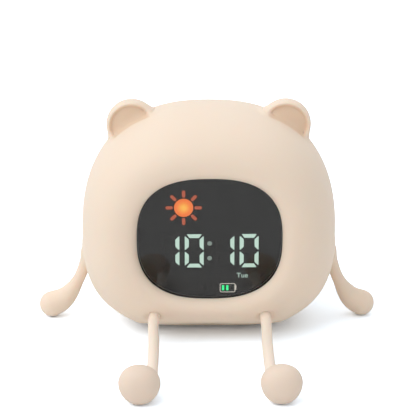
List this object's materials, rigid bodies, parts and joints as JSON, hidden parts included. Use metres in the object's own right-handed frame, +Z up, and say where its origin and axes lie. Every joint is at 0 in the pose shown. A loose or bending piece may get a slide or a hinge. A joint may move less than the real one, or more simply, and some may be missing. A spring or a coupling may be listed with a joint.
{
  "type": "alarm clock",
  "caption": "Bear-shaped bedside alarm clock and night light in a soft silicone skin, with a lit display, bendable limbs and rear buttons.",
  "frame": {"origin": "middle of the flat base that the clock stands on", "axes": "+Z up, -Y toward the viewer of the display, +X to that viewer's right"},
  "size_m": [0.1598, 0.1409, 0.1078],
  "materials": {
    "silicone": "soft matte silicone",
    "milky_shell": "milky light-spreading plastic",
    "cover_plastic": "fine-grained moulded plastic",
    "screw_steel": "plated steel",
    "smoked_lens": "smoked glossy acrylic",
    "black_foam": "closed-cell foam",
    "black_plastic": "matt black plastic",
    "digit_light": "lit pale green-white light guide",
    "dark_epoxy": "unlit light guide",
    "colon_light": "dimly lit light guide",
    "sun_light": "lit orange light guide",
    "ray_light": "lit red-orange light guide",
    "icon_light": "lit white light guide",
    "charge_light": "lit green light guide",
    "circuit_board": "green solder mask",
    "led_package": "light-emitting diode package",
    "chip_package": "moulded chip package",
    "connector_plastic": "nylon connector",
    "copper": "bare copper foil",
    "socket_steel": "stamped steel",
    "battery_foil": "laminated pouch foil",
    "speaker_paper": "pressed paper cone",
    "plunger_plastic": "moulded plastic",
    "red_lead": "insulated lead",
    "white_lead": "insulated lead"
  },
  "bodies": {
    "housing": {"silicone_skin": "silicone", "leg_plug_left": "silicone", "leg_plug_right": "silicone", "front_shell": "milky_shell", "rear_shell": "milky_shell", "shell_screws": "screw_steel", "board_screws": "screw_steel", "rear_cover_screws": "screw_steel", "display_lens": "smoked_lens", "lens_gasket": "black_foam", "reflector_block": "black_plastic", "digit_guides": "digit_light", "unlit_digit_guides": "dark_epoxy", "colon_guides": "colon_light", "sun_disc_guide": "sun_light", "sun_ray_guides": "ray_light", "battery_outline_guide": "icon_light", "battery_bar_guides": "charge_light", "weekday_guide": "icon_light", "display_board": "circuit_board", "light_board": "circuit_board", "main_board": "circuit_board", "display_leds": "led_package", "night_light_leds": "led_package", "touch_pad": "copper", "controller_chips": "chip_package", "board_connectors": "connector_plastic", "switch_housings": "black_plastic", "slide_switch": "socket_steel", "usb_socket": "socket_steel", "rear_cover": "cover_plastic", "battery_cell": "battery_foil", "battery_pad": "black_foam", "speaker_gasket": "black_foam", "speaker_frame": "black_plastic", "speaker_cone": "speaker_paper", "speaker_magnet": "socket_steel", "battery_lead": "red_lead", "speaker_lead": "red_lead", "touch_lead": "white_lead", "light_lead": "white_lead", "display_lead": "white_lead"},
    "arm_left": {"arm_left": "silicone"},
    "arm_right": {"arm_right": "silicone"},
    "leg_left": {"leg_left": "silicone"},
    "leg_right": {"leg_right": "silicone"},
    "power_slider": {"power_slider": "cover_plastic", "slide_lever": "black_plastic"},
    "button_light": {"button_light": "cover_plastic", "plunger_light": "plunger_plastic"},
    "button_alarm": {"button_alarm": "cover_plastic", "plunger_alarm": "plunger_plastic"},
    "button_set": {"button_set": "cover_plastic", "plunger_set": "plunger_plastic"},
    "button_minus": {"button_minus": "cover_plastic", "plunger_minus": "plunger_plastic"},
    "button_plus": {"button_plus": "cover_plastic", "plunger_plus": "plunger_plastic"}
  },
  "joints": [
    {"name": "shoulder_left", "type": "hinge", "parent": "housing", "child": "arm_left", "pos_m": [-0.05857, 0.004, 0.028], "axis": [0, 1, 0], "range_deg": [0, 60], "stiffness_Nm_per_rad": 0.004},
    {"name": "hip_left", "type": "hinge", "parent": "housing", "child": "leg_left", "pos_m": [-0.02582, -0.03352, 0.01332], "axis": [-1, 0, 0], "range_deg": [-75, 15]},
    {"name": "shoulder_right", "type": "hinge", "parent": "housing", "child": "arm_right", "pos_m": [0.05857, 0.004, 0.028], "axis": [0, -1, 0], "range_deg": [0, 60], "stiffness_Nm_per_rad": 0.004},
    {"name": "hip_right", "type": "hinge", "parent": "housing", "child": "leg_right", "pos_m": [0.02582, -0.03352, 0.01332], "axis": [-1, 0, 0], "range_deg": [-75, 15]},
    {"name": "press_light", "type": "slide", "parent": "housing", "child": "button_light", "axis": [0, -1, 0], "range_m": [0, 0.0005], "stiffness_N_per_m": 1200},
    {"name": "press_alarm", "type": "slide", "parent": "housing", "child": "button_alarm", "axis": [0, -1, 0], "range_m": [0, 0.0005], "stiffness_N_per_m": 1200},
    {"name": "press_set", "type": "slide", "parent": "housing", "child": "button_set", "axis": [0, -1, 0], "range_m": [0, 0.0005], "stiffness_N_per_m": 1200},
    {"name": "press_minus", "type": "slide", "parent": "housing", "child": "button_minus", "axis": [0, -1, 0], "range_m": [0, 0.0005], "stiffness_N_per_m": 1200},
    {"name": "press_plus", "type": "slide", "parent": "housing", "child": "button_plus", "axis": [0, -1, 0], "range_m": [0, 0.0005], "stiffness_N_per_m": 1200},
    {"name": "power_slide", "type": "slide", "parent": "housing", "child": "power_slider", "axis": [1, 0, 0], "range_m": [0, 0.002]}
  ]
}
